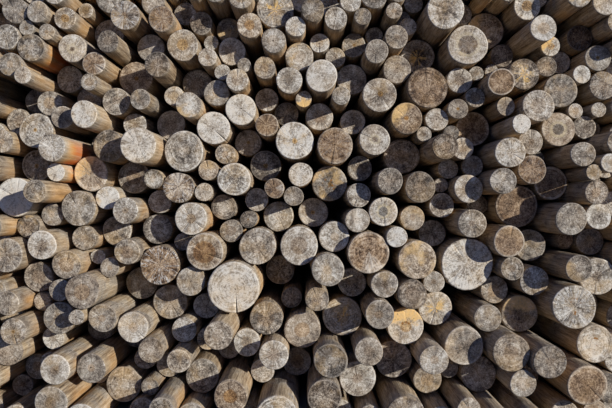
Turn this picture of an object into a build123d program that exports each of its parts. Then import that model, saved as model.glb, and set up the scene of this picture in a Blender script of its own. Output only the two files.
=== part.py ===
from build123d import *
from dataclasses import dataclass, field, replace
from math import atan, atan2, cos, degrees, hypot, inf, radians, sin, sqrt, tan
from random import Random
import os

# Driving dimensions, in millimetres and degrees.
# X runs across the face of the stack, Y from the face to the back, Z up from the ground.
log_length = 2000 * MM
diameter_loss = 0.006
seat_gap = 0.3 * MM
thinnest_log = 70 * MM
usual_log = 140 * MM
thickest_log = 190 * MM
most_proud = 150 * MM
most_sunk = 120 * MM
end_slope = 58
seen_width = 2880 * MM
seen_top = 980 * MM
seen_bottom = 1000 * MM
topping = 200 * MM
course_height = 125 * MM
log_pitch = 146 * MM
unevenness = 15 * MM
seed = 7
course_count = 17
widest_flat = 64
sharpest_flat = 6

# Where the face was looked at from: this far in front of it, with the eye this high.
view_distance = 2500 * MM
eye_height = 1005 * MM

# A log may be this share thinner or thicker than it looks, in even steps, to fit its seat.
# Its seat is sought among the logs nearest its place, first a few, then many, then all.
thinner_share = 0.12
thicker_share = 0.10
share_step = 0.02
share_cost = 0.2
few_neighbours = 16
many_neighbours = 60
contact_slack = 1e-6 * MM

# A log that would lie this far from its place gets a prop, a small log under it.
sag_limit = 30 * MM
sink_limit = 15 * MM
prop_gain = 12 * MM
prop_diameters = (70 * MM, 85 * MM, 100 * MM, 120 * MM, 140 * MM)

# The ends seen on the face, in centimetres: across and up from the eye's own line,
# diameter, and how far the end stands out of the face. They go from left to right in bands.
lowest_band = (
    (-130.6, -66.9, 15.5, 5), (-115.6, -60.4, 9.5, 0), (-116.6, -71.7, 13, 20), (-101.9, -75.1, 13.4, 15),
    (-94, -52.6, 13.8, 12), (-78.6, -56.3, 13.3, 10), (-71.8, -68.3, 14, 12), (-84, -66.5, 11.5, -15),
    (-85.8, -82.4, 16.5, 0), (-77, -77, 12, -5), (-72.2, -84.4, 9.3, 3), (-121.6, -77.5, 13.5, -10),
    (-131, -78.5, 9, -12), (-146, -82, 12, 10), (-134, -89.9, 12, 12), (-120.7, -91.6, 14, 18),
    (-104, -96, 15, 18), (-103.7, -80.5, 9.5, -8), (-109, -79.5, 8, -15), (-125.5, -48.5, 12, -8),
    (-115.3, -47.8, 13.9, 8), (-141, -58, 12, 15), (-102, -58.5, 12.8, -12), (-58.2, -72.7, 12, 14),
    (-61.8, -79, 13.5, -5), (-68.5, -97, 14, 22), (-56.5, -56, 13, 3), (-46.1, -63.5, 11.8, -5),
    (-39.7, -58.6, 12.2, 20), (-36.1, -71.9, 12, -15), (-27.2, -63.7, 14, 0), (-17.8, -52.3, 14.3, 0),
    (-15.2, -69.8, 14.8, 8), (-1, -58, 17, -2), (-3.2, -75.5, 15.2, -15), (-21.4, -77.3, 12.8, -5),
    (-14.1, -93.7, 18.4, 18), (-35.9, -87.9, 14.6, 15), (-46.8, -78.5, 16, 0), (-53, -96, 13, 12),
    (-26.5, -98, 11, 5), (12.1, -71.7, 16.3, 10), (29.5, -68.1, 15.2, 10), (34.3, -54.2, 15.5, 10),
    (49.8, -56, 17, 0), (24.9, -80.8, 17.3, 2), (8.9, -88.4, 14.8, 12), (17, -93, 10, 0),
    (43.5, -74.5, 18.5, -5), (60.4, -72.2, 12.6, 15), (57.7, -81.6, 13.5, 0), (67, -75.5, 10, -3),
    (46, -97, 16.5, 15), (29, -100, 13, 10), (62, -99, 13, 12), (16.5, -51.6, 18.3, -8),
    (74.6, -62.6, 17, 8), (82, -51.6, 12.2, 5), (97.5, -50.6, 18.6, -3), (93.2, -67.8, 16.1, 15),
    (80, -78.3, 16, 0), (99, -80, 16, -15), (114.5, -68, 14.3, 18), (122.5, -47.5, 24, 10),
    (131.2, -65.6, 18.5, 5), (124, -82.8, 18, 15), (139.7, -84.8, 12.7, 5), (119, -97, 13, 8),
    (133, -96, 13, 5), (104.5, -98.5, 13, 18), (88.5, -99, 13, 20), (75, -96.5, 13, 18),
    (138.5, -51, 15, -15),
)
lower_band = (
    (-132.1, -9.2, 12.5, 3), (-120.2, -7, 12, 0), (-105.1, -1.7, 16.3, 3), (-147, -15, 12, 15),
    (-122.5, -19, 14.2, 10), (-104.6, -14.5, 10.2, 0), (-108.3, -26.7, 13.8, 8), (-94.8, -24.6, 7.5, -3),
    (-89.3, -28.8, 8.7, 5), (-80.9, -22.2, 13, 8), (-91.4, -13, 16, -8), (-82.7, -3.7, 14.2, 8),
    (-67.2, -12, 14, -3), (-141.3, -31.5, 18, 12), (-120.2, -32.5, 12.8, 3), (-102.7, -38.4, 15.3, 15),
    (-145, -50, 13, 15), (-77.4, -38.5, 17, -12), (-69.6, -27.1, 16.8, 5), (-53.3, -7, 17.3, 8),
    (-60.1, -20.1, 9.3, -3), (-46.3, -23.6, 20, 8), (-57, -37.5, 15.6, 5), (-30.5, -38.3, 24.6, 8),
    (-46.2, -47, 12.6, -8), (-63.9, -44.5, 15.5, -5), (-34.2, -13.3, 12.3, 0), (-35.9, -2, 12.2, -5),
    (-24, -7.7, 8.3, 0), (-21.8, -19.6, 17.7, 3), (-11.7, -6, 14.8, -8), (-2.5, -19, 17.3, 3),
    (-1.4, 0.5, 10.7, 3), (-10.9, -32.7, 15.5, -15), (-8.3, -45.8, 11.3, -8), (2.9, -46, 12.9, 5),
    (9.8, -6.5, 15.8, -12), (24.1, 2.4, 13, 3), (27, -9.9, 11.9, 3), (38.2, -4.4, 13.4, 3),
    (44.6, -13.6, 9.2, 5), (51.4, -6, 11.5, -3), (65.5, -3.8, 13.2, -3), (58.3, -13, 11.5, -12),
    (17.9, -20.3, 16.3, 0), (35.4, -23.4, 19.6, 5), (53.6, -24.9, 18, 5), (73.5, -27.4, 23.4, 0),
    (7.4, -32.4, 16.2, 8), (22.5, -36.1, 15.5, -10), (38.9, -39.8, 14.7, 5), (54.6, -41.2, 14.8, 5),
    (64.3, -47.3, 14.5, -5), (79.1, -8.5, 12.5, 8), (94, -1.5, 18.5, -3), (92.1, -16.8, 15, 8),
    (118, -11.1, 17.5, 13), (128.8, -3.6, 12.7, 8), (140.2, -1.3, 13, 0), (128.6, -16.7, 9.5, -8),
    (146, -16.5, 14, 12), (130.4, -27.8, 13.6, 14), (141, -33.8, 17.5, 3), (104.5, -19.3, 17, -8),
    (97.5, -30.8, 12.6, 5), (106.7, -35.3, 13.7, 3), (87.2, -39.6, 13, -5),
)
upper_band = (
    (-140, 38, 13.5, -5), (-137.5, 33, 9.8, 12), (-125.3, 38, 15, 8), (-111.5, 39, 12, 8),
    (-98.3, 39.7, 14.6, 15), (-115.8, 26.8, 12.6, 17), (-123.3, 19.2, 13.4, 0), (-113.5, 15.2, 9, 8),
    (-97.3, 13.6, 16.5, 0), (-89.2, 26.3, 15.3, 5), (-99, 26, 9, -15), (-77.3, 29.6, 15.2, 15),
    (-81.8, 37.8, 10.5, -3), (-74, 44.3, 11, 8), (-87.2, 47.2, 12, 3), (-79, 12.4, 15.3, -8),
    (-68.4, 12.2, 10.5, 3), (-136.7, 6.4, 16.6, 5), (-121.8, 5.8, 13, 20), (-89.5, 2.5, 12.5, 2),
    (-67.4, 1, 11.7, -8), (-144, 20.5, 11.5, 15), (-62.8, 37.8, 12.3, -10), (-45, 35, 15.6, 3),
    (-30, 41.8, 16.7, 3), (-14.8, 39.3, 12.8, -10), (-20.1, 32.3, 12.3, 5), (-3.7, 29.1, 19.6, 3),
    (-31, 26, 14.3, -10), (-58, 23.8, 19, 3), (-43.6, 23.3, 9.6, 0), (-45.5, 15.2, 10.5, 3),
    (-32.2, 11.7, 15.8, 3), (-16.8, 16.2, 15.3, -8), (-2.8, 13.5, 13.2, 3), (-12.5, 7.1, 9.8, 5),
    (-23, 1.8, 12, -5), (-45.8, 4.5, 9.8, 3), (-58.2, 8.2, 13.6, 3), (-1.2, 42.8, 8.8, 0),
    (9.6, 39, 12.9, -5), (23, 37.5, 11.8, -8), (16.5, 28.2, 17, 5), (33.8, 30.3, 14.5, 5),
    (45.7, 40, 16.3, 5), (58.8, 38.5, 10.8, 3), (65.5, 45, 9.2, 5), (45.8, 22.4, 15.5, -8),
    (61.9, 27, 12.6, 16), (66.5, 32, 8.5, 3), (12.2, 10.5, 16.4, -5), (27.2, 14.5, 13.5, -8),
    (41.6, 9.5, 14.3, 10), (57.2, 8, 16.5, 5), (64, 15.5, 10.2, -5), (73.6, 7.3, 12.7, 5),
    (76.6, 16.8, 11.6, -5), (86.2, 42, 10, 5), (72.9, 31.8, 18, -8), (92.3, 33.9, 9.2, 16),
    (101.7, 29.2, 11.8, 3), (91.7, 23.7, 13.1, 12), (114.9, 33.3, 18.2, 3), (127.3, 37.3, 10, 0),
    (128, 29.5, 8, -10), (126.2, 20.5, 13.4, 15), (144, 31, 11, 16), (138.5, 17, 11.5, -8),
    (135, 8.9, 10.3, 14), (103, 15.6, 13.5, 8), (91.7, 10.8, 12.7, 12), (113.7, 6.3, 17.6, -3),
    (109, 20, 9.5, -10), (82, 1, 10, -12), (138, 41, 12.5, -15),
)
highest_band = (
    (-132.3, 90.3, 11.3, 10), (-122.8, 92.2, 9.5, 12), (-110, 97, 10.5, 12), (-136, 76.5, 13.3, 12),
    (-144, 86.5, 8, 5), (-118.8, 75.3, 8.5, 12), (-109.7, 82.6, 11.9, 10), (-96.2, 84.2, 8, 0),
    (-91.5, 95.5, 13.5, 0), (-83.5, 87.2, 12.4, 8), (-72.5, 93.5, 10, 0), (-68.3, 84.8, 13.3, 10),
    (-88, 77, 13, -10), (-103.2, 71.7, 13.3, 8), (-99.7, 63.8, 10.8, 10), (-90, 70.3, 12, 12),
    (-75.2, 72.2, 12.8, -3), (-68.7, 68.8, 10.8, 12), (-124.6, 66, 14.6, 12), (-142, 64, 11, 14),
    (-126.8, 53.8, 9.2, 17), (-107, 56.5, 13.2, -8), (-99.5, 48, 13.2, -10), (-93.5, 56, 8.2, 14),
    (-113.2, 46.5, 11.8, 0), (-144, 48, 10, 5), (-129.5, 47, 10.5, -12), (-74.9, 54.1, 17.5, -5),
    (-66.5, 95.5, 9, -8), (-58, 97, 9, 12), (-54.5, 86, 12, -12), (-46.5, 82.6, 11, -2),
    (-43.9, 97, 12, 10), (-32.5, 97.3, 10.5, 10), (-35.5, 81.5, 10.5, -10), (-20.2, 88.5, 17.5, 3),
    (-55.3, 72.3, 15, 5), (-41.6, 71.5, 13.3, -3), (-28.2, 75.3, 13.5, 8), (-15.9, 75.2, 10.8, 8),
    (-7.6, 82, 11, 8), (-7, 94.5, 13.5, -8), (2.7, 89.6, 10.8, 10), (-47.1, 63.6, 10, 8),
    (-37.4, 60.7, 8.5, 3), (-29.5, 62.5, 7.5, 3), (-31, 57, 9.5, 8), (-20, 61.6, 11.2, 5),
    (-9.9, 53.8, 14, 5), (-5, 66.7, 14.8, 0), (-56, 56.5, 13, -10), (-64.5, 47.7, 9.2, -3),
    (-56.5, 46.5, 12, 10), (-43.3, 50.3, 14, 3), (-20.3, 49.6, 9.8, -8), (6.2, 57.3, 17.3, 5),
    (11, 95.5, 9, -5), (13, 85.3, 11, 8), (19.7, 94.7, 9, 8), (24, 84.5, 9, 8),
    (31, 96, 12, 8), (41, 97.5, 8.5, 8), (38.2, 85.8, 9, 8), (47.3, 81.5, 9.3, 3),
    (46, 88.5, 7, -10), (61.2, 89, 18, 12), (50, 94, 8, -8), (4.8, 73.8, 10, 0),
    (19, 71.5, 13, -5), (10.8, 67.2, 9.5, -3), (31, 76.5, 9.5, -8), (31.7, 70.6, 10.8, 10),
    (41.5, 76.9, 10.5, 10), (40.9, 62.4, 12, 3), (53.6, 67, 16, -8), (53.9, 54.8, 17.6, 5),
    (73.6, 72.8, 18.9, 8), (68.4, 57, 13.6, 3), (21, 58.6, 12.8, -8), (32.7, 50, 16, 5),
    (17.6, 48.9, 9.9, 8), (76, 98, 12, 15), (88, 98, 9, 15), (101, 91, 13, 3),
    (109.5, 89, 10.5, -8), (111.5, 80.5, 11.5, -5), (121.7, 93.2, 15.2, 12), (135.3, 91.7, 12, 12),
    (145, 83, 10, 10), (102.9, 77.8, 14.2, 15), (74.6, 86.5, 10, -8), (86, 81.3, 15.6, -10),
    (89, 66.5, 12, -8), (78.3, 59.2, 8, 0), (91.2, 55.5, 14.2, 12), (102, 61.3, 13.6, 5),
    (111.5, 61, 11, 0), (112, 68.5, 10.5, 0), (122.9, 75.6, 12, -3), (120.5, 65.3, 10, -10),
    (135, 66, 14, 3), (134.8, 53.2, 13.5, 3), (119.5, 52, 16, 3), (104, 46, 16.8, 10),
    (77, 47.9, 10.5, 5), (135, 78.5, 9, -12),
)


@dataclass
class Log:
    """A tapered round log that lies front to back, with its front end at the face."""

    across: float
    up: float
    diameter: float
    front: float
    flare: float
    bearings: list = field(default_factory=list)

    @property
    def back(self):
        return self.front + log_length

    @property
    def butt(self):
        """The depth of its thick end, which is the front or the back one."""
        return self.back if self.flare > 0 else self.front

    @property
    def lying_height(self):
        """How high its axis is when its thick end lies on the ground."""
        return self.radius(self.butt)

    def radius(self, depth):
        return (self.diameter + self.flare * (depth - self.front)) / 2

    def distance(self, across, up):
        return hypot(self.across - across, self.up - up)


def spacing(one, other):
    """The distance between the axes of two logs that lie against each other."""
    ends = max(one.front, other.front), min(one.back, other.back)
    return max(one.radius(depth) + other.radius(depth) for depth in ends) + seat_gap


def ground_places(log, near):
    """Places on the ground: where the log is wanted, and against each log near it."""
    places = [(log.across, log.lying_height)]
    for other in near:
        reach = spacing(log, other)
        rise = log.lying_height - other.up
        if abs(rise) < reach:
            run = sqrt(reach**2 - rise**2)
            places += [(other.across - run, log.lying_height), (other.across + run, log.lying_height)]
    return places


def nook_places(log, near):
    """Places in the nook of each two logs, with the axis above them and between them."""
    places = []
    reaches = [(other, spacing(log, other)) for other in sorted(near, key=lambda other: other.across)]
    for number, (left, left_reach) in enumerate(reaches):
        for right, right_reach in reaches[number + 1 :]:
            run = right.across - left.across
            rise = right.up - left.up
            span = hypot(run, rise)
            along = (left_reach**2 - right_reach**2 + span**2) / (2 * span)
            if abs(along) < left_reach:
                aside = sqrt(left_reach**2 - along**2)
                across = left.across + (along * run - aside * rise) / span
                up = left.up + (along * rise + aside * run) / span
                if left.across < across < right.across:
                    places.append((across, up))
    return places


def is_free(log, across, up, heap):
    """Whether the log would lie clear of the ground and of all others at a place."""
    if up < log.lying_height:
        return False
    return all(other.distance(across, up) > spacing(log, other) - contact_slack for other in heap)


def best_seat(wanted, heap, shares):
    """The wanted log, fitted and moved to the free seat nearest its place."""
    by_distance = sorted(heap, key=lambda other: other.distance(wanted.across, wanted.up))
    best = None
    best_cost = inf
    for neighbour_count in (few_neighbours, many_neighbours, len(heap)):
        near = by_distance[:neighbour_count]
        for share in shares:
            log = replace(wanted, diameter=wanted.diameter * share)
            for across, up in ground_places(log, near) + nook_places(log, near):
                cost = wanted.distance(across, up) + wanted.diameter * abs(share - 1) * share_cost
                if cost < best_cost and is_free(log, across, up, by_distance):
                    best = replace(log, across=across, up=up)
                    best_cost = cost
        if best:
            break
    return best


def with_prop(wanted, sunken, heap, shares):
    """A small log where the wanted one would have sunk to, if that helps, and the wanted one on it."""
    best = None, sunken
    least_miss = sunken.distance(wanted.across, wanted.up) - prop_gain
    for diameter in prop_diameters:
        prop = best_seat(replace(sunken, diameter=diameter, bearings=[]), heap, (1,))
        raised = best_seat(wanted, heap + [prop], shares)
        if raised.distance(wanted.across, wanted.up) < least_miss:
            least_miss = raised.distance(wanted.across, wanted.up)
            best = prop, raised
    return best


def seen_places():
    """The logs of the four bands, where they are once the view's perspective is taken out."""
    logs = []
    for across, up, diameter, standout in lowest_band + lower_band + upper_band + highest_band:
        nearness = (view_distance - standout * CM) / view_distance
        logs.append(
            Log(
                across * CM * nearness,
                eye_height + up * CM * nearness,
                diameter * CM * nearness,
                -standout * CM,
                0,
            )
        )
    return logs


def other_places(dice):
    """Logs for the sloping ends of the stack, its top and any course below what was seen."""
    logs = []
    top = eye_height + seen_top + topping
    course_total = int(top / course_height)
    for course in range(course_total):
        middle = course_height * (course + 0.5)
        half_width = seen_width / 2 + (top - middle) / tan(radians(end_slope))
        half_count = int(half_width / log_pitch) + 1
        for number in range(-half_count, half_count + 1):
            across = (number + course % 2 / 2) * log_pitch + dice.uniform(-unevenness, unevenness)
            up = middle + dice.uniform(-unevenness, unevenness)
            diameter = dice.triangular(thinnest_log, thickest_log, usual_log)
            front = dice.uniform(-most_proud, most_sunk)
            seen = abs(across) < seen_width / 2 and eye_height - seen_bottom < up < eye_height + seen_top
            if not seen and abs(across) < half_width:
                logs.append(Log(across, up, diameter, front, 0))
    return logs


def stacked():
    """All logs, seated one by one from the ground up."""
    dice = Random(seed)
    heap = []
    share_count = round((thinner_share + thicker_share) / share_step)
    shares = [1 - thinner_share + share_step * number for number in range(share_count + 1)]
    for wanted in sorted(seen_places() + other_places(dice), key=lambda log: log.up):
        wanted.flare = dice.choice((-diameter_loss, diameter_loss))
        seated = best_seat(wanted, heap, shares)
        if seated.distance(wanted.across, wanted.up) > sag_limit and seated.up < wanted.up - sink_limit:
            prop, seated = with_prop(wanted, seated, heap, shares)
            if prop:
                heap.append(prop)
        heap.append(seated)
    return heap


def note_bearings(heap):
    """Gives each log the directions, in degrees, of the logs and the ground that it bears on."""
    touching = 2 * seat_gap
    for number, one in enumerate(heap):
        if one.up - one.lying_height < touching:
            one.bearings.append(-90)
        for other in heap[number + 1 :]:
            if one.distance(other.across, other.up) - spacing(one, other) < touching:
                direction = degrees(atan2(other.up - one.up, other.across - one.across))
                one.bearings.append(direction)
                other.bearings.append(direction + 180)


def corner_directions(log):
    """The corners of a log's section: its bearings, with even flats between them."""
    corners = []
    for bearing in sorted(direction % 360 for direction in log.bearings):
        if not corners or bearing - corners[-1] > sharpest_flat:
            corners.append(bearing)
    filled = []
    for corner, following in zip(corners, corners[1:] + [corners[0] + 360]):
        flat_count = int((following - corner) / widest_flat) + 1
        filled += [corner + (following - corner) * number / flat_count for number in range(flat_count)]
    return filled


def butt_corners(log):
    """The corners of the log's section at its thick end, as places across and up."""
    radius = log.radius(log.butt)
    turns = [radians(direction) for direction in corner_directions(log)]
    return [(log.across + radius * cos(turn), log.up + radius * sin(turn)) for turn in turns]


stack = stacked()
note_bearings(stack)
spread = [across for log in stack for across, up in butt_corners(log)]
middle_across = (min(spread) + max(spread)) / 2
middle_depth = (min(log.front for log in stack) + max(log.back for log in stack)) / 2
for log in stack:
    log.across -= middle_across
    log.front -= middle_depth
highest_axis = max(log.up for log in stack)
taper = degrees(atan(diameter_loss / 2))

os.makedirs("parts", exist_ok=True)
for course_number in range(course_count):
    lowest = highest_axis * course_number / course_count
    highest = highest_axis * (course_number + 1) / course_count
    timbers = []
    for log in stack:
        if lowest < log.up <= highest:
            butt_end = Plane.XZ.offset(-log.butt)
            forward = 1 if log.butt == log.back else -1
            with BuildPart() as timber:
                with BuildSketch(butt_end):
                    Polygon(*butt_corners(log), align=None)
                extrude(amount=forward * log_length)
                flats = timber.faces().filter_by(Axis.Y, reverse=True)
                draft(flats, butt_end, forward * taper)
            timbers.append(timber.part)
    course = Compound(label=f"course_{course_number + 1:02d}", children=timbers)
    export_step(course, f"parts/{course.label}.step")
    print(course.label, len(timbers), "logs")
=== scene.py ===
import bpy
import math
import numpy as np
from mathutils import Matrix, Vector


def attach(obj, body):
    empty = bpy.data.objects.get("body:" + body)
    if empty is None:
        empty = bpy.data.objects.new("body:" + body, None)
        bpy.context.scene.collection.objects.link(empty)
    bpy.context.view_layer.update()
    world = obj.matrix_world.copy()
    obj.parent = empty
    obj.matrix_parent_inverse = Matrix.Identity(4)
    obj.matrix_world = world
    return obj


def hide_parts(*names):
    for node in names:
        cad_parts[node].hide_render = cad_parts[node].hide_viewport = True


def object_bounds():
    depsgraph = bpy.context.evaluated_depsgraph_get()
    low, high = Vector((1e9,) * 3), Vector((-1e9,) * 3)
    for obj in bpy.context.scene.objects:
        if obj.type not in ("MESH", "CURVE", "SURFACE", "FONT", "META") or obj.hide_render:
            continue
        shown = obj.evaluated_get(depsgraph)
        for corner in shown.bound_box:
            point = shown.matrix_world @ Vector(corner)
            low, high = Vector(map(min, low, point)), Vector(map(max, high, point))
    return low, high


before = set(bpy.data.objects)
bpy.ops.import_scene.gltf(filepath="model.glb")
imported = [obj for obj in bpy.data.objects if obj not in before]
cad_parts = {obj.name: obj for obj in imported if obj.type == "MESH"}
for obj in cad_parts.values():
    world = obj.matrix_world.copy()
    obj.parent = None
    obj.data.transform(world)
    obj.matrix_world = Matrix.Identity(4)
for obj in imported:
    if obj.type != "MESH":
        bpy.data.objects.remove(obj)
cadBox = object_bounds()
lowCorner, highCorner = np.array(cadBox[0], float), np.array(cadBox[1], float)
print("frame loaded, box", [round(float(v), 3) for v in highCorner - lowCorner])

# how the stack was looked at: metres in the frame; the face is a plane across the line of sight
view = {
    "eye": (-0.0804, -3.465, 1.005),
    "faceDepth": -0.965,
    "lens": 31.97,
    "sensor": 36.0,
}
# the part's logs, in metres
part = {
    "length": 2.0,
    "loss": 0.006,          # how much smaller the radius is at the thin end
    "usualRadius": 0.07,
}


# One socket of a node. A formula written on sockets adds the nodes that work it out.
class Value:
    def __init__(self, shader, socket):
        self.shader = shader
        self.socket = socket

    def math(self, operation, first, second=0.0):
        return self.shader.node("ShaderNodeMath", {"operation": operation}, {0: first, 1: second})

    def __add__(self, other): return self.math("ADD", self, other)
    def __radd__(self, other): return self.math("ADD", other, self)
    def __sub__(self, other): return self.math("SUBTRACT", self, other)
    def __rsub__(self, other): return self.math("SUBTRACT", other, self)
    def __mul__(self, other): return self.math("MULTIPLY", self, other)
    def __rmul__(self, other): return self.math("MULTIPLY", other, self)
    def __truediv__(self, other): return self.math("DIVIDE", self, other)
    def __neg__(self): return self.math("MULTIPLY", self, -1.0)

    def sine(self): return self.math("SINE", self)
    def size(self): return self.math("ABSOLUTE", self)
    def root(self): return self.math("SQRT", self)

    # how far a noise is from its middle, times a weight
    def swing(self, weight): return (self - 0.5) * weight

    # 0 below low, 1 above high, an S curve between; low may be the larger one
    def step(self, low, high):
        kind = {"interpolation_type": "SMOOTHSTEP", "clamp": True}
        return self.shader.node("ShaderNodeMapRange", kind, {"Value": self, "From Min": low, "From Max": high})

    def clamp(self):
        return self.shader.node("ShaderNodeClamp", {}, {"Value": self})


# The nodes of a material or a world.
class Shader:
    def __init__(self, owner):
        owner.use_nodes = True
        self.owner = owner
        self.tree = owner.node_tree
        self.tree.nodes.clear()

    def node(self, kind, settings, inputs, output=0):
        made = self.tree.nodes.new(kind)
        for key, value in settings.items():
            if key == "stops":
                while len(made.color_ramp.elements) < len(value):
                    made.color_ramp.elements.new(0.5)
                for element, (position, color) in zip(made.color_ramp.elements, value):
                    element.position = position
                    element.color = color
            else:
                setattr(made, key, value)
        for key, value in inputs.items():
            if isinstance(value, Value):
                self.tree.links.new(value.socket, made.inputs[key])
            else:
                made.inputs[key].default_value = value
        return Value(self, made.outputs[output]) if made.outputs else None

    def mix(self, factor, first, second, blend="MIX"):
        kind = {"data_type": "RGBA", "blend_type": blend, "clamp_factor": True}
        return self.node("ShaderNodeMix", kind, {0: factor, 6: first, 7: second}, 2)

    def noise(self, vector, scale, detail, roughness):
        inputs = {"Vector": vector, "Scale": scale, "Detail": detail, "Roughness": roughness}
        return self.node("ShaderNodeTexNoise", {"noise_dimensions": "3D"}, inputs)

    def ramp(self, level, stops):
        return self.node("ShaderNodeValToRGB", {"stops": stops}, {"Fac": level})

    def attribute(self, name):
        return self.node("ShaderNodeAttribute", {"attribute_name": name}, {}, "Vector")

    def split(self, vector):
        first = self.node("ShaderNodeSeparateXYZ", {}, {0: vector})
        return [Value(self, socket) for socket in first.socket.node.outputs]

    def join(self, x, y, z):
        return self.node("ShaderNodeCombineXYZ", {}, {0: x, 1: y, 2: z})

    def place(self):
        return self.node("ShaderNodeTexCoord", {}, {}, "Object")

    # the last nodes of a matt material: a bump, the surface and the output
    def matt(self, color, height, look):
        bump = self.node("ShaderNodeBump", {}, {
            "Strength": look["bumpStrength"], "Distance": look["bumpDepth"], "Height": height})
        surface = self.node("ShaderNodeBsdfPrincipled", {}, {
            "Base Color": color, "Normal": bump, "Roughness": look["roughness"],
            "Specular IOR Level": look["shine"]})
        self.node("ShaderNodeOutputMaterial", {}, {"Surface": surface})
        return self.owner


# a colour given as 0-255 screen values, as Blender's linear colour
def tint(red, green, blue):
    parts = [c / 255 for c in (red, green, blue)]
    return tuple(c / 12.92 if c <= 0.04045 else ((c + 0.055) / 1.055) ** 2.4 for c in parts) + (1.0,)


# The logs of one course, read back from its solids. Corners at the same place, to a hundredth of a
# millimetre, are one, and corners that triangles join, directly or in a chain, carry one label: the lowest
# number among them.
def logsOf(node):
    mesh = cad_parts[node].data
    points = np.empty(len(mesh.vertices) * 3, np.float32)
    mesh.vertices.foreach_get("co", points)
    mesh.calc_loop_triangles()
    corners = np.empty(len(mesh.loop_triangles) * 3, np.int32)
    mesh.loop_triangles.foreach_get("vertices", corners)
    points = points.reshape(-1, 3).astype(float)
    places, merged = np.unique(np.round(points, 5), axis=0, return_inverse=True)
    triangles = merged.reshape(-1)[corners.reshape(-1, 3)]
    label = np.arange(len(places))
    while True:
        lowest = label[triangles].min(1)
        spread = label.copy()
        np.minimum.at(spread, triangles.reshape(-1), np.repeat(lowest, 3))
        if np.array_equal(spread, label):
            break
        label = spread
    return [fitLog(places[label == one]) for one in np.unique(label)]


# The circle through one end's corners by least squares: x^2 + z^2 = 2ax + 2bz + c.
def fitCircle(ring):
    flat = ring[:, [0, 2]]
    system = np.column_stack((2 * flat, np.ones(len(flat))))
    a, b, c = np.linalg.lstsq(system, (flat**2).sum(1), rcond=None)[0]
    radius = math.sqrt(c + a * a + b * b)
    miss = np.abs(np.hypot(flat[:, 0] - a, flat[:, 1] - b) - radius).max()
    return miss, a, b, radius


# A log is its axis across and up, its front, its back and its radius at each. The end whose corners fit
# a circle best is the thick one and gives the axis; the other one's radius is smaller by the loss.
def fitLog(corners):
    front, back = corners[:, 1].min(), corners[:, 1].max()
    middle = (front + back) / 2
    atFront = fitCircle(corners[corners[:, 1] < middle])
    atBack = fitCircle(corners[corners[:, 1] > middle])
    thickFront = atFront[0] < atBack[0]
    x, z, radius = (atFront if thickFront else atBack)[1:]
    thin = radius - part["loss"]
    return (x, z, front, back) + ((radius, thin) if thickFront else (thin, radius))


courses = {name: np.array(logsOf(name)) for name in sorted(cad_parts)}
logs = np.concatenate(list(courses.values()))
print("logs read", len(logs))

# how each log looks, drawn at random between these
finish = {
    "tone": (0.36, 0.73),       # dark to pale
    "warm": (0.05, 0.50),       # grey to tan
    "heart": (0.0, 0.55),       # how strong the coloured heart is
    "hue": (0.0, 0.6),          # its colour, brown to orange, or below 0 grey with a pale ring round it
    "core": (0.22, 0.55),       # its share of the radius
    "pith": (0.0, 0.8),
    "yellow": (0.0, 0.35),
    "rays": (0.15, 0.8),
    "white": (0.0, 0.7),        # dark rays to white rays
    "rings": (0.15, 0.8),
    "saw": (0.0, 0.6),
    "rim": (0.0, 0.55),
    "wedge": (0.0, 0.0),        # a pale sector between two rays
    "star": (0.0, 0.0),         # bright yellow rays from the pith
    "drops": (0.0, 0.0),        # orange-brown drops round the pith
    "spots": (0.0, 0.25),
    "split": (0.0, 0.3),        # how far the widest check opens
    "way": (0.0, 6.28),         # the direction of that check and of the pale sector, radians from the right
    "stain": (0.0, 0.55),       # gold to orange on the side: partly a stain of the wood, partly painted warm light
    "knot": (0.0, 0.15),        # a swelling of the side, a little behind the end
    "knotWay": (0.0, 6.28),
    "glow": (-0.35, 0.2),       # a golden side, or below 0 a dark patch, in the check's direction
}
# what a word sets
words = {
    "pale": {"tone": 0.86, "warm": 0.3, "heart": 0.1},
    "bright": {"tone": 1.0, "warm": 0.15, "heart": 0.1},
    "grey": {"tone": 0.56, "warm": 0.0, "heart": 0.1},
    # its low tone stands in for shade: painted shade on the end it is given to
    "dark": {"tone": 0.3},
    "tan": {"tone": 0.6, "warm": 0.8},
    "brown": {"tone": 0.48, "warm": 0.95, "yellow": 0.1, "heart": 0.4, "hue": 0.1, "core": 0.85},
    "pith": {"pith": 1.0},
    "greyCore": {"heart": 0.9, "hue": -0.7, "core": 0.30, "tone": 0.66, "white": 1.0},
    "wide": {"core": 0.44},
    "small": {"core": 0.19},
    "haloed": {"hue": -1.0},
    "yellowHeart": {"heart": 0.8, "hue": 1.0, "core": 0.4},
    "orangeHeart": {"heart": 0.8, "hue": 0.65, "core": 0.4},
    "brownHeart": {"heart": 0.9, "hue": 0.1, "core": 0.6},
    "orangeSpot": {"heart": 1.0, "hue": 0.8, "core": 0.13},
    "yellowPatch": {"yellow": 0.85},
    "fresh": {"yellow": 0.2, "tone": 0.7, "warm": 0.4, "heart": 0.7, "hue": 1.0, "core": 0.35,
              "drops": 1.0, "glow": 1.1},
    "golden": {"glow": 0.7},
    "patched": {"glow": -1.0},
    "ringed": {"rings": 1.0},
    "rayed": {"rays": 1.0},
    "whiteRays": {"rays": 1.0, "white": 1.0},
    "sawn": {"saw": 1.0},
    "wedge": {"wedge": 1.0},
    "star": {"star": 1.0},
    "drops": {"drops": 1.0},
    "spots": {"spots": 1.0},
    "rimmed": {"rim": 1.0},
    "split": {"split": 1.0},
    "stained": {"stain": 1.0},
    "knotRight": {"knot": 1.0, "knotWay": 0.18},
    "toRight": {"way": 0.0},
    "upRight": {"way": 0.8},
    "up": {"way": 1.57},
    "upLeft": {"way": 2.4},
    "toLeft": {"way": 3.14},
    "downLeft": {"way": 3.9},
    "down": {"way": 4.85},
    "downRight": {"way": 5.5},
}
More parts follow.
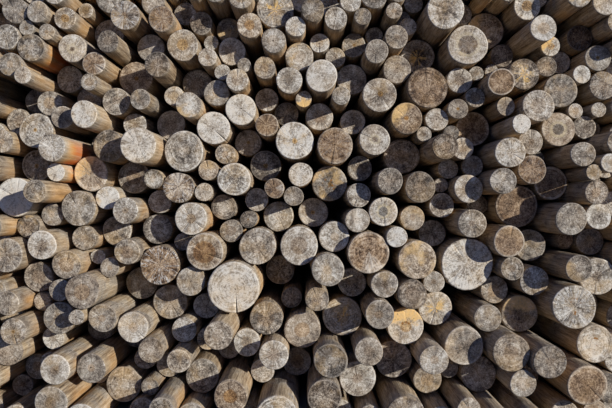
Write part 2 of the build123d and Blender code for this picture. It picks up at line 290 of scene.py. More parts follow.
# the ends that stand out in the face: centimetres across and up from the eye's line, and their words
notable = [
    (-101.9, -75.1, "pith"), (-141, -58, "orangeSpot"), (-14.1, -93.7, "orangeHeart ringed"),
    (-35.9, -87.9, "brown orangeHeart"), (12.1, -71.7, "patched upLeft"), (49.8, -56, "fresh spots up"),
    (46, -97, "orangeHeart"), (97.5, -50.6, "golden up"), (131.2, -65.6, "drops pale"), (16.5, -51.6, "star"),
    (122.5, -47.5, "pale grey rayed drops whiteRays"), (124, -82.8, "brown"), (133, -96, "tan"),
    (-132.1, -9.2, "yellowPatch"), (-105.1, -1.7, "grey sawn"), (-80.9, -22.2, "pith"), (-141.3, -31.5, "grey"),
    (-69.6, -27.1, "brown whiteRays"), (-46.3, -23.6, "tan brownHeart rimmed"),
    (-30.5, -38.3, "pale split down"), (-24, -7.7, "orangeSpot"), (9.8, -6.5, "orangeSpot"),
    (27, -9.9, "spots patched pale toLeft"), (38.2, -4.4, "greyCore rimmed haloed"), (44.6, -13.6, "bright"),
    (35.4, -23.4, "brown ringed wedge down"), (53.6, -24.9, "tan spots yellowPatch"),
    (73.5, -27.4, "pale rayed"), (38.9, -39.8, "patched toLeft"), (64.3, -47.3, "star"), (94, -1.5, "brown"),
    (92.1, -16.8, "brown spots rimmed"), (118, -11.1, "brown drops spots"), (128.8, -3.6, "grey"),
    (-125.3, 38, "grey ringed orangeSpot"), (-98.3, 39.7, "pale wedge upRight"), (-115.8, 26.8, "pale stained"),
    (-123.3, 19.2, "rimmed orangeSpot"), (-113.5, 15.2, "bright stained"), (-97.3, 13.6, "tan golden upLeft"),
    (-77.3, 29.6, "pale wedge spots"), (-136.7, 6.4, "bright"), (-89.5, 2.5, "bright yellowPatch"),
    (-45, 35, "pale spots split downRight"), (-30, 41.8, "pale pith"), (-20.1, 32.3, "brown spots"),
    (-3.7, 29.1, "pale orangeSpot whiteRays"), (-31, 26, "orangeSpot"), (-58, 23.8, "grey ringed spots"),
    (-45.5, 15.2, "tan yellowPatch spots"), (-32.2, 11.7, "grey rimmed ringed"), (-16.8, 16.2, "orangeSpot"),
    (-2.8, 13.5, "pale"), (-12.5, 7.1, "brown wedge toRight"), (-58.2, 8.2, "tan wedge whiteRays up"),
    (-1.2, 42.8, "fresh down"), (23, 37.5, "yellowPatch"), (16.5, 28.2, "brown spots pith"),
    (33.8, 30.3, "pale greyCore small"), (45.7, 40, "brown golden upLeft orangeSpot"), (58.8, 38.5, "pith"),
    (65.5, 45, "orangeSpot"), (61.9, 27, "ringed spots"), (12.2, 10.5, "yellowPatch orangeSpot drops"),
    (72.9, 31.8, "brown"), (92.3, 33.9, "bright spots"), (114.9, 33.3, "greyCore tan haloed"),
    (91.7, 23.7, "wedge"), (91.7, 10.8, "wedge"), (103, 15.6, "grey brown"), (113.7, 6.3, "brown"),
    (-109.7, 82.6, "yellowHeart"), (-83.5, 87.2, "wedge whiteRays"), (-68.3, 84.8, "brown spots"),
    (-103.2, 71.7, "pale greyCore small"), (-99.7, 63.8, "brown wedge"), (-124.6, 66, "stained"),
    (-136, 76.5, "grey stained"), (-74.9, 54.1, "brown orangeSpot"), (-20.2, 88.5, "star split rayed up"),
    (-55.3, 72.3, "yellowHeart"), (-28.2, 75.3, "tan orangeHeart"), (-15.9, 75.2, "pith"),
    (-35.5, 81.5, "yellowPatch"), (-5, 66.7, "yellowPatch"), (-56.5, 46.5, "pale yellowPatch"),
    (6.2, 57.3, "pale rimmed wedge downLeft"), (19, 71.5, "spots orangeSpot"), (53.6, 67, "star rayed"),
    (53.9, 54.8, "brown spots"), (73.6, 72.8, "greyCore wide spots"), (32.7, 50, "orangeSpot"),
    (40.9, 62.4, "pith"), (101, 91, "orangeHeart"), (86, 81.3, "tan golden toLeft"),
    (112, 68.5, "fresh upLeft"), (102, 61.3, "star rayed"), (-32.1, 102.2, "knotRight"),
    # the end at 122.9, 75.6 is brown wood made darker still: painted shade
    (122.9, 75.6, "brown dark"), (135, 66, "orangeSpot"), (91.2, 55.5, "brown rimmed"),
    (121.7, 93.2, "grey yellowPatch"),
]
dice = np.random.default_rng(11)        # another number gives other finishes, waves and checks
looks = {name: dice.uniform(low, high, len(logs)) for name, (low, high) in finish.items()}

# where the eye sees each front end: centimetres across and up on the face
nearness = (logs[:, 2] - view["eye"][1]) / (view["faceDepth"] - view["eye"][1])
seenAcross = 100 * (logs[:, 0] - view["eye"][0]) / nearness
seenUp = 100 * (logs[:, 1] - view["eye"][2]) / nearness
for across, up, told in notable:
    which = int(np.argmin(np.hypot(seenAcross - across, seenUp - up)))
    for word in told.split():
        for name, amount in words[word].items():
            looks[name][which] = amount
print("finishes drawn,", len(notable), "ends by hand")

# the shape of the logs, in metres and radians, or in parts of the radius where a note says so
shape = {
    "endShares": [0.16, 0.36, 0.58, 0.78, 0.92],    # rings of the front end, from the pith outwards
    "sideDepths": [0.012, 0.05, 0.12, 0.30, 0.65, 1.10, 1.55, 1.90],
    "backShare": 0.5,       # the one ring inside the back end
    "evenTurns": 26,        # directions spread evenly round a log
    "firstTurn": 0.2,       # the first of them lies anywhere up to here
    "checks": 4,            # modelled checks, three directions each
    "checkSpread": 0.55,    # how far a check may lie from its even place
    "checkOpen": 0.25,      # how open one is at most, beside the widest
    "checkWidth": 0.035,    # half a check's width at the rim
    "checkDepth": 0.016,
    "checkRun": 0.16,       # how far it runs along the side
    "checkNotch": 0.05,     # how deep it cuts into the side, of the radius
    "ovalShare": 0.055,     # the wave of two crests round a log, of the radius
    "ovalDrift": 1.0,       # how far it turns in a metre
    "lumpShare": 0.034,     # the wave of three crests
    "lumpDrift": -2.2,
    "waveTurn": 6.3,        # a wave starts anywhere within this turn
    "cutTilt": 0.05,        # rise over run
    "pithSpread": 0.035,    # how far off the axis the pith lies, usually and at most, of the radius
    "pithLimit": 0.09,
    "arris": 0.003,
    "swell": 1.1,           # of the radius, deep inside the stack at the eye's line
    "swellDepth": 1.1,
    "swellReach": 0.36,
    "swellRun": 0.60,
    "knotRise": 0.026,
    "knotDepth": 0.30,
    "knotRun": 0.12,
    "knotWidth": 0.55,
}
fullTurn = 2 * np.pi


# The angle between two directions, 0 to half a turn.
def angleBetween(first, second):
    return np.abs((first - second + np.pi) % fullTurn - np.pi)


# Directions round each log: evenly spread ones and three at each check, put in order.
def turnsOf(count, checkWays):
    first = dice.uniform(0, shape["firstTurn"], (count, 1))
    even = np.arange(shape["evenTurns"]) * fullTurn / shape["evenTurns"] + first
    around = checkWays[:, :, None] + np.array([-1.0, 0.0, 1.0]) * shape["checkWidth"]
    return np.sort(np.concatenate((even, around.reshape(count, -1)), axis=1) % fullTurn, axis=1)


# How open a check is in a direction: 1 on its line, falling evenly to 0 at half its width.
def opening(turns, checkWays, checkSizes):
    apart = angleBetween(turns[:, :, None], checkWays[:, None, :])
    return (np.clip(1 - apart / shape["checkWidth"], 0, 1) * checkSizes[:, None, :]).max(2)


# The radius in a direction and at a depth: the log's own, which falls evenly from the thick end, less a wave
# of two and one of three crests round it that drift along it, plus the knot's round hill. Logs near the eye's
# line also swell half-way along, where they are out of sight, so that no light comes through between them.
def radiusAt(log, turns, depth, waves, look):
    aside = np.hypot(log[:, 0] - view["eye"][0], log[:, 1] - view["eye"][2])
    swell = shape["swell"] * np.exp(-(aside / shape["swellReach"]) ** 4
                                    - ((depth - shape["swellDepth"]) / shape["swellRun"]) ** 4)
    own = ((log[:, 4] + (log[:, 5] - log[:, 4]) * depth / part["length"]) * (1 + swell))[:, None]
    ovalStart, lumpStart = shape["waveTurn"] * waves[:, 1:2], shape["waveTurn"] * waves[:, 3:4]
    oval = 0.5 + 0.5 * np.sin(2 * turns + ovalStart + shape["ovalDrift"] * depth)
    lumps = 0.5 + 0.5 * np.sin(3 * turns + lumpStart + shape["lumpDrift"] * depth)
    apart = angleBetween(turns, look["knotWay"][:, None])
    rise = shape["knotRise"] * look["knot"] * np.exp(-((depth - shape["knotDepth"]) / shape["knotRun"]) ** 2)
    waved = 1 - shape["ovalShare"] * waves[:, 0:1] * oval - shape["lumpShare"] * waves[:, 2:3] * lumps
    return own * waved + rise[:, None] * np.exp(-(apart / shape["knotWidth"]) ** 2)


# How far behind a log's foremost point its cut lies at a place: the tilt across times the place across, the
# same for up, and the whole tilt times the radius, so that it is never below 0.
def cutDepth(log, tilt, x, z):
    return np.hypot(tilt[:, 0:1], tilt[:, 1:2]) * log[:, 4:5] + tilt[:, 0:1] * x + tilt[:, 1:2] * z


# One course as one mesh: for each log, rings of points from the front pith out over the front end, along the
# side and in over the back end, and a pole at each pith.
def courseMesh(name, log, look):
    count = len(log)
    waves = dice.uniform(0, 1, (count, 8))      # the size and start of the oval, then of the lumps
    evenWays = np.arange(shape["checks"]) * fullTurn / shape["checks"]
    shifts = dice.uniform(-shape["checkSpread"], shape["checkSpread"], (count, shape["checks"]))
    checkWays = look["way"][:, None] + evenWays + shifts
    checkWays[:, 0] = look["way"]
    checkSizes = dice.uniform(0, shape["checkOpen"], (count, shape["checks"])) * look["rays"][:, None]
    checkSizes[:, 0] = np.maximum(checkSizes[:, 0], look["split"])
    turns = turnsOf(count, checkWays)
    openness = opening(turns, checkWays, checkSizes)
    tilt = dice.normal(0, shape["cutTilt"] / 2, (count, 4)).clip(-shape["cutTilt"], shape["cutTilt"])
    tiltFront, tiltBack = tilt[:, 0:2], tilt[:, 2:4]
    pith = dice.normal(0, shape["pithSpread"], (count, 2)).clip(-shape["pithLimit"], shape["pithLimit"])
    pith = pith * log[:, 4:5]
    pithX, pithZ = pith[:, 0:1], pith[:, 1:2]
    front, back = log[:, 2:3], log[:, 3:4]

    # A ring of an end lies a share of the way from the pith to the rim, on the tilted cut, and sinks into
    # the checks by their openness times the root of the share.
    def endRing(share, atFront):
        radius = radiusAt(log, turns, 0.0 if atFront else part["length"], waves, look)
        radius = radius * (1 - shape["checkNotch"] * openness)
        x = pithX * (1 - share) + radius * np.cos(turns) * share
        z = pithZ * (1 - share) + radius * np.sin(turns) * share
        depth = cutDepth(log, tiltFront if atFront else tiltBack, x, z)
        depth = depth + shape["checkDepth"] * openness * np.sqrt(share)
        return x, front + depth if atFront else back - depth, z

    # A ring of the side lies at the radius, less a notch in each check that fades away from both ends. It
    # leans as the front cut does at the front and as the back cut does at the back.
    def sideRing(along):
        fade = math.exp(-along / shape["checkRun"]) + math.exp((along - part["length"]) / shape["checkRun"])
        radius = radiusAt(log, turns, along, waves, look) * (1 - shape["checkNotch"] * openness * fade)
        x, z = radius * np.cos(turns), radius * np.sin(turns)
        start, end = front + cutDepth(log, tiltFront, x, z), back - cutDepth(log, tiltBack, x, z)
        return x, start + (end - start) * along / part["length"], z

    arrisShare = 1 - shape["arris"] / part["usualRadius"]
    frontShares = shape["endShares"] + [arrisShare]
    depths = [shape["arris"]] + shape["sideDepths"] + [part["length"] - shape["arris"]]
    backShares = [arrisShare, shape["backShare"]]
    rings = ([endRing(share, True) for share in frontShares] + [sideRing(depth) for depth in depths]
             + [endRing(share, False) for share in backShares])
    shares = np.array(frontShares + [1.0] * len(depths) + backShares)
    ringCount, width = len(rings), turns.shape[1]
    x, y, z = (np.stack([ring[axis] for ring in rings], axis=1) for axis in range(3))
    frontPole = np.stack((pithX, front + cutDepth(log, tiltFront, pithX, pithZ), pithZ), axis=2)
    backPole = np.stack((pithX, back - cutDepth(log, tiltBack, pithX, pithZ), pithZ), axis=2)
    own = np.concatenate((np.stack((x, y, z), axis=3).reshape(count, -1, 3), frontPole, backPole), axis=1)
    axes = np.stack((log[:, 0], np.zeros(count), log[:, 1]), axis=1)
    points = np.clip(own + axes[:, None, :], lowCorner, highCorner)     # nothing leaves the part's box

    # four-cornered faces between rings and three-cornered ones to the poles, all facing outwards
    step = np.arange(width)
    after = (step + 1) % width
    ring = np.arange(ringCount - 1)[:, None] * width
    quads = np.stack((ring + step, ring + after, ring + width + after, ring + width + step), axis=2)
    lastRing, poles = (ringCount - 1) * width, ringCount * width
    frontFan = np.stack((np.full(width, poles), after, step), axis=1)
    backFan = np.stack((np.full(width, poles + 1), lastRing + step, lastRing + after), axis=1)
    perLog = poles + 2
    shift = (np.arange(count) * perLog)[:, None, None]
    quads = (quads.reshape(-1, 4)[None] + shift).reshape(-1, 4)
    fans = (np.concatenate((frontFan, backFan))[None] + shift).reshape(-1, 3)
    band = np.repeat(np.arange(ringCount - 1), width)
    onSide = (band >= len(frontShares)) & (band < ringCount - 1 - len(backShares))
    slots = np.concatenate((np.tile(onSide.astype(int), count), np.zeros(len(fans), int)))

    mesh = bpy.data.meshes.new(name)
    mesh.vertices.add(count * perLog)
    mesh.vertices.foreach_set("co", points.astype(np.float32).ravel())
    loops = np.concatenate((quads.ravel(), fans.ravel()))
    sizes = np.concatenate((np.full(len(quads), 4), np.full(len(fans), 3)))
    mesh.loops.add(len(loops))
    mesh.loops.foreach_set("vertex_index", loops.astype(np.int32))
    mesh.polygons.add(len(sizes))
    mesh.polygons.foreach_set("loop_start", np.concatenate(([0], np.cumsum(sizes)[:-1])).astype(np.int32))
    mesh.polygons.foreach_set("material_index", slots.astype(np.int32))
    mesh.polygons.foreach_set("use_smooth", np.ones(len(sizes), bool))
    mesh.update(calc_edges=True)

    # what the materials read at each point
    def note(title, values):
        layer = mesh.attributes.new(title, "FLOAT_VECTOR", "POINT")
        layer.data.foreach_set("vector", values.astype(np.float32).ravel())

    def noteLogs(title, *values):
        note(title, np.repeat(np.stack(values, axis=1), perLog, axis=0))

    start = np.concatenate((pithX, front, pithZ), axis=1)
    note("ownPlace", own - start[:, None, :])       # metres from the front pith
    atPoles = np.zeros((count, 2))
    allShares = np.broadcast_to(shares[:, None], (count, ringCount, width)).reshape(count, -1)
    allOpen = np.broadcast_to(openness[:, None, :], (count, ringCount, width)).reshape(count, -1)
    note("reach", np.stack((
        np.concatenate((allShares, atPoles), axis=1),
        np.concatenate((allOpen, atPoles), axis=1),
        np.repeat(log[:, 4:5], perLog, axis=1)), axis=2))
    sawWay = dice.uniform(0, fullTurn, count)
    seed = dice.uniform(0, 1, count)
    noteLogs("wood", look["tone"], look["warm"], seed)
    noteLogs("heart", look["heart"], look["hue"], look["core"])
    noteLogs("marks", look["rays"], look["white"], look["rings"])
    noteLogs("patches", look["yellow"], look["spots"], look["pith"])
    noteLogs("edges", look["rim"], look["saw"], look["stain"])
    noteLogs("sparks", look["star"], look["drops"], look["glow"])
    noteLogs("wedgeWay", np.cos(look["way"]), look["wedge"], np.sin(look["way"]))
    noteLogs("sawWay", np.cos(sawWay), np.zeros(count), np.sin(sawWay))
    piece = bpy.data.objects.new(name, mesh)
    bpy.context.scene.collection.objects.link(piece)
    return piece


# a pair's first number everywhere, and its second as far as a pattern goes
def filled(pair, pattern):
    return pair[0] + pattern * pair[1]


# the cut ends; a noise is its scale, detail and roughness, an edge says where an area is clear and where it is
# full, a wave how far a pattern shifts that edge, and a fill how much of the new colour the area takes
endLook = {
    "greyStops": [(0.0, tint(62, 56, 50)), (0.35, tint(128, 119, 108)),
                  (0.7, tint(182, 173, 158)), (1.0, tint(228, 224, 214))],
    "tanStops": [(0.0, tint(66, 48, 36)), (0.35, tint(132, 107, 82)),
                 (0.7, tint(190, 165, 134)), (1.0, tint(230, 212, 184))],
    "heartBrown": tint(196, 164, 132),      # the three hearts are washes over the wood
    "heartOrange": tint(255, 216, 150),
    "heartGrey": tint(166, 168, 172),
    "halo": tint(220, 203, 164),            # round a grey heart
    "pith": tint(58, 42, 30),
    "yellow": tint(226, 190, 130),
    "golden": tint(242, 200, 132),
    "darkPatch": tint(92, 78, 64),
    "darkRay": tint(52, 42, 34),
    "whiteRay": tint(226, 222, 214),
    "pale": tint(224, 214, 198),            # the wedge and the rim
    "spot": tint(66, 52, 40),
    # near black: painted shade inside the checks
    "checkShade": tint(22, 17, 13),
    "drop": tint(150, 104, 52),
    "star": tint(246, 200, 112),
    "leastFar": 0.0005,     # metres from the pith, never 0, because it divides
    "ringWidth": 0.0052,
    "ringWave": 0.007,
    "bandSeed": 3.0,        # a seed takes each log to another place of a pattern
    "raySeed": 9.0,
    "rayDrift": 3.0,
    "rayEdge": (0.028, 0.004),
    "rayStart": (0.04, 0.25),
    "rayFill": (0.35, 0.45),
    "arcSpan": 0.026,       # the radius of the circle in the noise that a turn round the pith follows
    "arcSeed": 7.0,
    "fleckSpan": 0.08,
    "fleckSeed": 5.0,
    "fleckLength": 0.3,
    "slopeMiddle": 0.45,    # wood grows paler or darker outwards, by the log's seed
    "slopeSeed": 0.6,
    # a pair is the weight on a plain log and what full rings or rays add to it
    "levelWeights": {"blotch": 1.2, "mottle": 0.3, "fine": 1.25, "speck": 0.3, "band": 0.9, "broadRay": 1.3,
                     "fineBand": (0.3, 0.6), "ring": (0.05, 0.14), "arc": (0.7, 1.2), "fleck": (0.6, 1.1)},
    "tanWeights": {"warm": 0.8, "patch": 0.9, "band": 0.4},
    "heartWave": 0.22,
    "heartBandWave": 0.2,
    "heartEdge": (0.05, -0.05),
    "heartFill": (0.7, 0.6),
    "haloInside": (0.01, 0.07),
    "haloOutside": (0.26, 0.08),
    "haloFill": 1.1,
    "yellowEdge": (0.46, 0.66),
    "yellowFill": (0.1, 1.3),
    "goldWave": 1.3,
    "goldRayWave": 0.6,
    "goldEdge": (0.05, 0.50),
    "goldSpeck": 0.8,
    "darkWave": 0.9,
    "darkEdge": (0.12, 0.42),
    "darkRimWave": 0.5,
    "darkRim": (0.80, 0.55),
    "darkFill": 0.65,
    "wedgeWave": 0.25,
    "wedgeEdge": (0.74, 0.96),
    "wedgeFill": (0.1, 0.6),
    "wedgeFleck": (0.38, 0.62),
    "wedgeStreak": (0.3, 1.6),
    "rimEdge": (0.87, 0.97),
    "rimFill": 0.5,
    "starWave": 0.5,
    "starEdge": (0.46, 0.60),
    "starReachWave": 0.8,
    "starReach": (0.80, 0.15),
    "starFill": 0.2,
    "spotEdge": (0.58, 0.70),
    "spotFill": (0.05, 0.75),
    "dropScale": 48.0,
    "dropEdge": (0.34, 0.16),
    "dropReach": (0.5, 0.3),
    "pithEdge": (0.006, 0.002),             # metres from the pith
    # a darker line at the very rim of each end
    "darkLayerEdge": (0.965, 1.0),
    "darkLayerFill": 0.45,
    "checkShadeEdge": (0.12, 0.5),
    "checkShadeStart": (0.02, 0.2),
    "sawWidth": 0.006,
    "sawWave": 0.004,
    "relief": {"fine": 0.3, "ring": 0.3, "saw": 0.35, "ray": 1.5, "blotch": 0.8},
    "blotch": (24.0, 4.0, 0.6),
    "patch": (13.0, 3.0, 0.6),
    "fine": (230.0, 3.0, 0.65),
    "mottle": (110.0, 3.0, 0.65),
    "speck": (95.0, 3.0, 0.7),
    "warp": (30.0, 2.0, 0.5),
    "band": (60.0, 2.0, 0.6),
    "fineBand": (170.0, 2.0, 0.7),
    "ray": (3.6, 3.0, 0.6),
    "broadRay": (2.2, 2.0, 0.5),
    "arc": (130.0, 3.0, 0.65),
    "fleck": (110.0, 3.0, 0.65),
    "bumpStrength": 0.5,
    "bumpDepth": 0.002,
    "roughness": 0.86,
    "shine": 0.25,
}


# The cut ends: each pattern's swing times its weight makes the wood lighter or darker, grey or tan; the heart,
# patches, rays and marks are laid over it one after another; the same patterns raise and sink it.
def endWood(look):
    s = Shader(bpy.data.materials.new("cutEnd"))
    place = s.place()
    x, _, z = s.split(s.attribute("ownPlace"))
    share, checkShade, radius = s.split(s.attribute("reach"))
    tone, warm, seed = s.split(s.attribute("wood"))
    heart, hue, core = s.split(s.attribute("heart"))
    rays, white, rings = s.split(s.attribute("marks"))
    yellow, spots, pith = s.split(s.attribute("patches"))
    rim, saw, _ = s.split(s.attribute("edges"))
    star, drops, glow = s.split(s.attribute("sparks"))
    wedgeX, wedge, wedgeZ = s.split(s.attribute("wedgeWay"))
    sawX, _, sawZ = s.split(s.attribute("sawWay"))

    blotch = s.noise(place, *look["blotch"])
    patch = s.noise(place, *look["patch"])
    fine = s.noise(place, *look["fine"])
    mottle = s.noise(place, *look["mottle"])
    speck = s.noise(place, *look["speck"])
    warp = s.noise(place, *look["warp"])
    along = share * radius
    far = (x * x + z * z).root() + look["leastFar"]
    unitX, unitZ = x / far, z / far

    # rings: waves of the distance from the pith, and broad and fine bands of it
    ringPlace = along + warp.swing(look["ringWave"])
    ring = (ringPlace * (fullTurn / look["ringWidth"])).sine() * 0.5 + 0.5
    bandPlace = s.join(ringPlace, seed * look["bandSeed"], seed)
    band = s.noise(bandPlace, *look["band"])
    fineBand = s.noise(bandPlace, *look["fineBand"])

    # rays: thin lines where a noise of the direction alone crosses its middle, and broad ones
    rayPlace = s.join(unitX, seed * look["raySeed"] + along * look["rayDrift"], unitZ)
    rayLine = (s.noise(rayPlace, *look["ray"]) - 0.5).size().step(*look["rayEdge"])
    ray = rayLine * share.step(*look["rayStart"]) * rays
    broadRay = s.noise(rayPlace, *look["broadRay"])

    # arcs drawn out along the rings, and flecks drawn out along the rays
    arcSpan, fleckSpan = look["arcSpan"], look["fleckSpan"]
    arcPlace = s.join(unitX * arcSpan + seed * look["arcSeed"], ringPlace, unitZ * arcSpan)
    arc = s.noise(arcPlace, *look["arc"])
    fleckX, fleckZ = unitX * fleckSpan - seed * look["fleckSeed"], unitZ * fleckSpan
    fleck = s.noise(s.join(fleckX, ringPlace * look["fleckLength"], fleckZ), *look["fleck"])

    # how light the wood is, and from grey to tan
    weight = look["levelWeights"]
    level = (tone + blotch.swing(weight["blotch"]) + mottle.swing(weight["mottle"])
             + fine.swing(weight["fine"]) + speck.swing(weight["speck"])
             + (share - look["slopeMiddle"]) * (seed - look["slopeSeed"])
             + band.swing(rings) * weight["band"] + fineBand.swing(filled(weight["fineBand"], rings))
             + ring.swing(filled(weight["ring"], rings)) + arc.swing(filled(weight["arc"], rings))
             + fleck.swing(filled(weight["fleck"], rays)) + broadRay.swing(rays) * weight["broadRay"]).clamp()
    weight = look["tanWeights"]
    tanShare = warm * weight["warm"] + patch.swing(weight["patch"]) + band.swing(weight["band"])
    color = s.mix(tanShare, s.ramp(level, look["greyStops"]), s.ramp(level, look["tanStops"]))

    # the heart, and a pale ring round a grey one
    pastHeart = share + blotch.swing(look["heartWave"]) + band.swing(look["heartBandWave"]) - core
    heartTint = s.mix(hue, look["heartBrown"], look["heartOrange"])
    heartTint = s.mix(-hue, heartTint, look["heartGrey"])
    heartArea = pastHeart.step(*look["heartEdge"]) * heart
    color = s.mix(heartArea * filled(look["heartFill"], speck), color, heartTint, "MULTIPLY")
    halo = pastHeart.step(*look["haloInside"]) * pastHeart.step(*look["haloOutside"]) * (-hue)
    color = s.mix(halo * mottle * look["haloFill"], color, look["halo"])

    # patches: yellow ones anywhere, a golden side or a dark one, a pale sector, a pale rim
    yellowArea = patch.step(*look["yellowEdge"]) * yellow
    color = s.mix(yellowArea * filled(look["yellowFill"], mottle), color, look["yellow"])
    side = (x * wedgeX + z * wedgeZ) / radius
    goldSide = side + blotch.swing(look["goldWave"]) + broadRay.swing(look["goldRayWave"])
    goldFill = mottle + speck * look["goldSpeck"]
    color = s.mix(goldSide.step(*look["goldEdge"]) * glow * goldFill, color, look["golden"])
    darkSide = (side + blotch.swing(look["darkWave"])).step(*look["darkEdge"])
    darkArea = darkSide * (share + blotch.swing(look["darkRimWave"])).step(*look["darkRim"])
    color = s.mix(darkArea * (-glow) * look["darkFill"], color, look["darkPatch"])
    toWedge = unitX * wedgeX + unitZ * wedgeZ
    wedgeArea = (toWedge + broadRay.swing(look["wedgeWave"])).step(*look["wedgeEdge"]) * wedge
    wedgeStreaks = filled(look["wedgeStreak"], fleck.step(*look["wedgeFleck"]))
    color = s.mix(wedgeArea * (filled(look["wedgeFill"], mottle) * wedgeStreaks), color, look["pale"])
    color = s.mix(share.step(*look["rimEdge"]) * rim * look["rimFill"], color, look["pale"])

    # rays, star, insect spots, resin drops, pith, a darker line at the rim, and checks painted near black as
    # painted shade
    rayTint = s.mix(white, look["darkRay"], look["whiteRay"])
    color = s.mix(ray * filled(look["rayFill"], white), color, rayTint)
    starReach = (share + blotch.swing(look["starReachWave"])).step(*look["starReach"])
    starArea = (broadRay + mottle.swing(look["starWave"])).step(*look["starEdge"]) * starReach
    color = s.mix(starArea * star * (mottle + look["starFill"]), color, look["star"])
    color = s.mix(speck.step(*look["spotEdge"]) * filled(look["spotFill"], spots), color, look["spot"])
    cell = s.node("ShaderNodeTexVoronoi", {}, {"Vector": place, "Scale": look["dropScale"]})
    dropArea = cell.step(*look["dropEdge"]) * share.step(*look["dropReach"])
    color = s.mix(dropArea * drops, color, look["drop"])
    color = s.mix(far.step(*look["pithEdge"]) * pith, color, look["pith"])
    # darker towards the very rim of each end, in the pith's colour
    color = s.mix(share.step(*look["darkLayerEdge"]) * look["darkLayerFill"], color, look["pith"])
    # the checks are painted near black: painted shade in the cracks
    color = s.mix(checkShade.step(*look["checkShadeEdge"]) * share.step(*look["checkShadeStart"]), color, look["checkShade"])

    sawPlace = x * sawX + z * sawZ + warp.swing(look["sawWave"])
    sawLine = (sawPlace * (fullTurn / look["sawWidth"])).sine()
    relief = look["relief"]
    height = (fine * relief["fine"] + ring * rings * relief["ring"] + sawLine * saw * relief["saw"]
              - ray * relief["ray"] + blotch * relief["blotch"])
    return s.matt(color, height, look)


# the long sides, with rests of bark and weathered grey; streak, hair and the stain, partly painted warm light,
# are drawn out along the log
sideLook = {
    "goldenStops": [(0.0, tint(72, 58, 46)), (0.3, tint(132, 114, 92)),
                    (0.6, tint(188, 168, 138)), (1.0, tint(226, 214, 190))],
    "greyStops": [(0.0, tint(68, 62, 56)), (0.4, tint(130, 121, 110)), (1.0, tint(208, 200, 186))],
    "bark": tint(74, 58, 46),
    "gold": tint(226, 168, 92),
    "orange": tint(206, 112, 44),
    # near black: painted shade inside the checks
    "checkShade": tint(30, 22, 16),
    "streak": (75.0, 4.0, 0.6),
    "streakLength": 0.06,
    "hair": (320.0, 3.0, 0.6),
    "hairLength": 0.04,
    "stain": (45.0, 2.0, 0.5),
    "stainAndLightLength": 0.02,
    "blotch": (9.0, 4.0, 0.6),
    "grain": (150.0, 3.0, 0.6),
    "levelLeast": 0.30,
    "levelWeights": {"tone": 0.35, "streak": 1.15, "hair": 1.0, "blotch": 0.7, "grain": 0.5},
    "greyEdge": (0.42, 0.62),
    "greyLoss": 0.6,        # how much less of it a warm log has
    "barkStreakWave": 0.5,
    "barkGrainWave": 0.3,
    "darkLayerEdge": (0.60, 0.70),
    "darkLayerFill": 0.7,
    "stainAndLightStart": (0.0, 0.10),      # metres behind the front end
    "stainAndLightEnd": (0.34, 0.2),
    "stainAndLightSide": (-0.5, 1.2),       # of the radius, down and to the right
    "stainAndLightFill": 1.7,
    "orangeWave": 0.12,
    "orangeEdge": (0.05, 0.14),     # metres behind the front end
    "orangeStainAndLight": (0.5, 0.9),      # how strong the stain and its painted warm light have to be to turn orange
    "checkShadeEdge": (0.25, 0.7),
    "checkShadeEnd": (0.2, 0.05),
    "relief": {"streak": 1.2, "hair": 0.5, "grain": 0.3, "bark": 0.8},
    "bumpStrength": 0.6,
    "bumpDepth": 0.003,
    "roughness": 0.82,
    "shine": 0.25,
}


# The long sides: each pattern's swing times its weight makes the wood lighter or darker; it turns grey and
# keeps bark in patches, and a stain, partly painted warm light, is laid over it behind the front end.
def sideWood(look):
    s = Shader(bpy.data.materials.new("side"))
    place = s.place()
    x, depth, z = s.split(place)
    tone, warm, _ = s.split(s.attribute("wood"))
    _, checkShade, radius = s.split(s.attribute("reach"))
    stain = s.split(s.attribute("edges"))[2]
    ownX, ownDepth, ownZ = s.split(s.attribute("ownPlace"))
    streak = s.noise(s.join(x, depth * look["streakLength"], z), *look["streak"])
    hair = s.noise(s.join(x, depth * look["hairLength"], z), *look["hair"])
    stainAndLightStreak = s.noise(s.join(x, depth * look["stainAndLightLength"], z), *look["stain"])
    blotch = s.noise(place, *look["blotch"])
    grain = s.noise(place, *look["grain"])

    weight = look["levelWeights"]
    level = (look["levelLeast"] + tone * weight["tone"] + streak.swing(weight["streak"])
             + hair.swing(weight["hair"]) + blotch.swing(weight["blotch"])
             + grain.swing(weight["grain"])).clamp()
    greyShare = blotch.step(*look["greyEdge"]) * (1.0 - warm * look["greyLoss"])
    color = s.mix(greyShare, s.ramp(level, look["goldenStops"]), s.ramp(level, look["greyStops"]))
    barkPlace = blotch + streak.swing(look["barkStreakWave"]) + grain.swing(look["barkGrainWave"])
    bark = barkPlace.step(*look["darkLayerEdge"])
    color = s.mix(bark * look["darkLayerFill"], color, look["bark"])

    # the stain grows from gold to orange behind the end, on the side that faces down and to the right; it is
    # partly the wood's own colour and partly painted warm light on that side
    stainAndLightRun = ownDepth.step(*look["stainAndLightStart"]) * ownDepth.step(*look["stainAndLightEnd"])
    stainAndLightArea = stainAndLightRun * ((ownX - ownZ) / radius).step(*look["stainAndLightSide"])
    orangeDepth = (ownDepth + stainAndLightStreak.swing(look["orangeWave"])).step(*look["orangeEdge"])
    stainAndLightTint = s.mix(orangeDepth * stain.step(*look["orangeStainAndLight"]), look["gold"], look["orange"])
    # this mix paints the stain together with its painted warm light on that side
    color = s.mix(stainAndLightArea * stainAndLightStreak * stain * look["stainAndLightFill"], color, stainAndLightTint)
    # the checks near the front end are painted near black: painted shade in the cracks
    color = s.mix(checkShade.step(*look["checkShadeEdge"]) * ownDepth.step(*look["checkShadeEnd"]), color, look["checkShade"])

    relief = look["relief"]
    height = (streak * relief["streak"] + hair * relief["hair"] + grain * relief["grain"]
              + bark * relief["bark"])
    return s.matt(color, height, look)


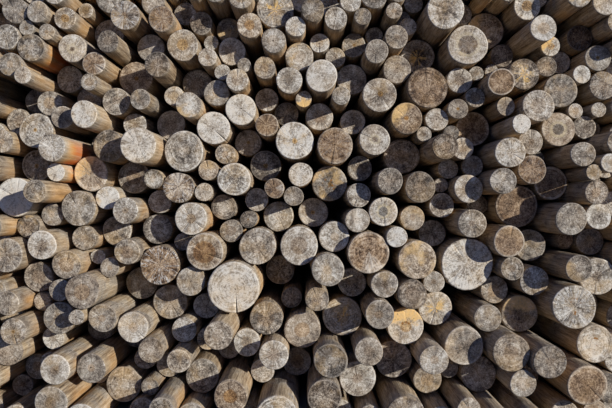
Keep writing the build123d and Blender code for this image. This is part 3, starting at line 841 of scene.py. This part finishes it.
endMaterial, sideMaterial = endWood(endLook), sideWood(sideLook)
print("materials made")

start = 0
for name, log in courses.items():
    look = {key: values[start:start + len(log)] for key, values in looks.items()}
    start += len(log)
    piece = courseMesh("logs_" + name, log, look)
    piece.data.materials.append(endMaterial)
    piece.data.materials.append(sideMaterial)
    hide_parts(name)
    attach(piece, "root")
print("courses made")

# floor, sky and lamps; a lamp is turned right of straight on, raised and softened, all in degrees
studio = {
    "floor": tint(222, 220, 214),
    "floorGlow": tint(62, 68, 84),      # what the floor throws back on the logs
    "floorReach": 60.0,
    "floorRoughness": 0.9,
    "sky": 0.28,
    "skyTint": (0.28, 0.43, 1.0, 1.0),
    "backdrop": 0.92,
    "backdropTint": (1.0, 1.0, 1.0, 1.0),
    "lamps": {
        "key": {"turn": 52.0, "rise": 15.0, "power": 4.1, "soft": 1.0, "color": (1.0, 0.97, 0.92)},
        "backRight": {"turn": 145.0, "rise": 36.0, "power": 1.5, "soft": 25.0, "color": (1.0, 0.99, 0.97)},
        "backLeft": {"turn": 225.0, "rise": 36.0, "power": 1.5, "soft": 25.0, "color": (1.0, 0.99, 0.97)},
    },
}
reach = studio["floorReach"]
floorMesh = bpy.data.meshes.new("floor")
floorCorners = [(-reach, -reach, 0), (reach, -reach, 0), (reach, reach, 0), (-reach, reach, 0)]
floorMesh.from_pydata(floorCorners, [], [(0, 1, 2, 3)])
floor = bpy.data.objects.new("floor", floorMesh)
bpy.context.scene.collection.objects.link(floor)
floorShader = Shader(bpy.data.materials.new("floor"))
floorSeen = floorShader.node("ShaderNodeLightPath", {}, {}, "Is Camera Ray")
floorTint = floorShader.mix(floorSeen, studio["floorGlow"], studio["floor"])
floorSurface = floorShader.node("ShaderNodeBsdfPrincipled", {}, {
    "Base Color": floorTint, "Roughness": studio["floorRoughness"]})
floorShader.node("ShaderNodeOutputMaterial", {}, {"Surface": floorSurface})
floorMesh.materials.append(floorShader.owner)

sky = Shader(bpy.data.worlds.new("studio"))
bpy.context.scene.world = sky.owner
skySeen = sky.node("ShaderNodeLightPath", {}, {}, "Is Camera Ray")
strength = skySeen * (studio["backdrop"] - studio["sky"]) + studio["sky"]
skyTint = sky.mix(skySeen, studio["skyTint"], studio["backdropTint"])
background = sky.node("ShaderNodeBackground", {}, {"Color": skyTint, "Strength": strength})
sky.node("ShaderNodeOutputWorld", {}, {"Surface": background})


def farLamp(name, turn, rise, power, soft, color):
    light = bpy.data.lights.new(name, "SUN")
    light.energy = power
    light.angle = math.radians(soft)
    light.color = color
    lamp = bpy.data.objects.new(name, light)
    lamp.rotation_euler = (math.radians(90 - rise), 0.0, math.radians(turn))
    bpy.context.scene.collection.objects.link(lamp)


for name, lamp in studio["lamps"].items():
    farLamp(name, **lamp)

camera = bpy.data.cameras.new("camera")
camera.sensor_width = view["sensor"]
camera.lens = view["lens"]
eye = bpy.data.objects.new("camera", camera)
eye.location = view["eye"]
eye.rotation_euler = (math.radians(90), 0.0, 0.0)       # level, looking along +y
bpy.context.scene.collection.objects.link(eye)
bpy.context.scene.camera = eye
bpy.context.scene.view_settings.view_transform = "Standard"
print("studio ready")
